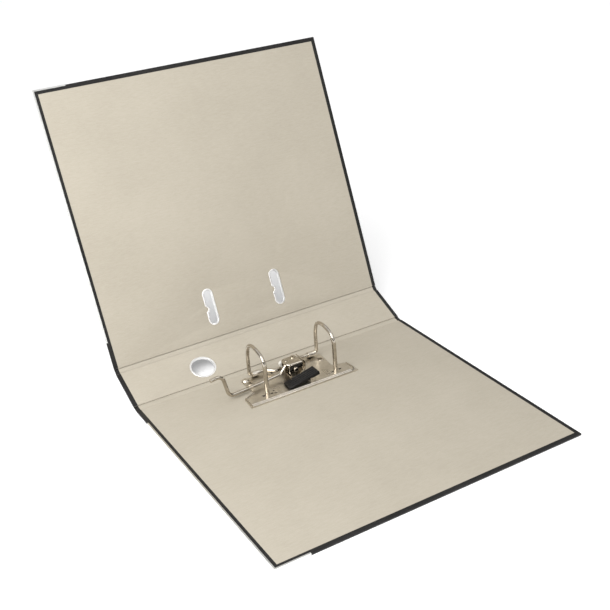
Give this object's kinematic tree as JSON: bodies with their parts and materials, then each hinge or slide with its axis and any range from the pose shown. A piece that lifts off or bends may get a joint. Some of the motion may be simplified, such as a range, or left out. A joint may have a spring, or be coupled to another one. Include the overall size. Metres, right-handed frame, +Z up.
{
  "type": "lever arch file",
  "caption": "A4 lever arch file lying open: black cover with beige lining, metal-edged boards, thumb hole in the spine and a nickel arch mechanism worked by a wire lever",
  "frame": {"origin": "centre of the back cover's outer face, on the surface the file lies on", "axes": "+Z up; +X from the file's bottom edge to its top edge; +Y from the back cover's fore-edge to the spine"},
  "size_m": [0.3184, 0.443, 0.2912],
  "materials": {
    "grey_board": "plain grey board",
    "cover_paper": "black, fine linen emboss, low sheen",
    "lining_paper": "matte warm grey-beige with a faint fibre grain",
    "rail_metal": "satin, pale",
    "eyelet_metal": "bright",
    "nickel_plate": "bright nickel, slightly warm",
    "catch_plastic": "moulded, lightly textured",
    "roller_plastic": "moulded",
    "spring_steel": "drawn wire"
  },
  "bodies": {
    "back": {"back_board": "grey_board", "back_sheet": "cover_paper", "back_liner": "lining_paper", "back_edge_rail": "rail_metal", "base_plate": "nickel_plate", "plate_rivet_left": "nickel_plate", "plate_rivet_right": "nickel_plate", "post_left": "nickel_plate", "post_right": "nickel_plate", "lever_bracket": "nickel_plate", "lever_pin": "nickel_plate", "catch_pin": "nickel_plate", "catch_spring": "spring_steel"},
    "spine": {"spine_board": "grey_board", "spine_sheet": "cover_paper", "spine_liner": "lining_paper", "thumb_ring": "eyelet_metal"},
    "front": {"front_board": "grey_board", "front_sheet": "cover_paper", "front_liner": "lining_paper", "front_edge_rail": "rail_metal", "slot_eyelet_left": "eyelet_metal", "slot_eyelet_right": "eyelet_metal"},
    "arches": {"arch_wire": "nickel_plate"},
    "lever": {"lever_hood": "nickel_plate", "lever_wire": "nickel_plate", "hood_rivet": "nickel_plate", "hood_stud": "nickel_plate", "roller_pin": "nickel_plate"},
    "roller": {"crank_roller": "roller_plastic"},
    "catch": {"thumb_catch": "catch_plastic"}
  },
  "joints": [
    {"name": "spine_fold", "type": "hinge", "parent": "back", "child": "spine", "pos_m": [0, 0.1465, 0], "axis": [1, 0, 0], "range_deg": [-23.8, 66.2]},
    {"name": "front_fold", "type": "hinge", "parent": "spine", "child": "front", "pos_m": [0, 0.19408, 0.02098], "axis": [1, 0, 0], "range_deg": [-44.7, 45.3]},
    {"name": "lever_lift", "type": "hinge", "parent": "back", "child": "lever", "pos_m": [0, 0.10965, 0.0128], "axis": [0, -1, 0], "range_deg": [-80, 0]},
    {"name": "arch_swing", "type": "hinge", "parent": "back", "child": "arches", "pos_m": [0, 0.128, 0.0073], "axis": [1, 0, 0], "range_deg": [-38, 0]},
    {"name": "roller_spin", "type": "hinge", "parent": "lever", "child": "roller", "pos_m": [-0.006, 0.1205, 0.0125], "axis": [0, 1, 0], "continuous": true},
    {"name": "catch_press", "type": "hinge", "parent": "back", "child": "catch", "pos_m": [0.0075, 0.0886, 0.0075], "axis": [0, 1, 0], "range_deg": [0, 9], "stiffness_Nm_per_rad": 0.05, "springref_deg": -5.73}
  ],
  "couplings": [
    {"joint": "arch_swing", "follows": "lever_lift", "ratio": 0.475}
  ]
}
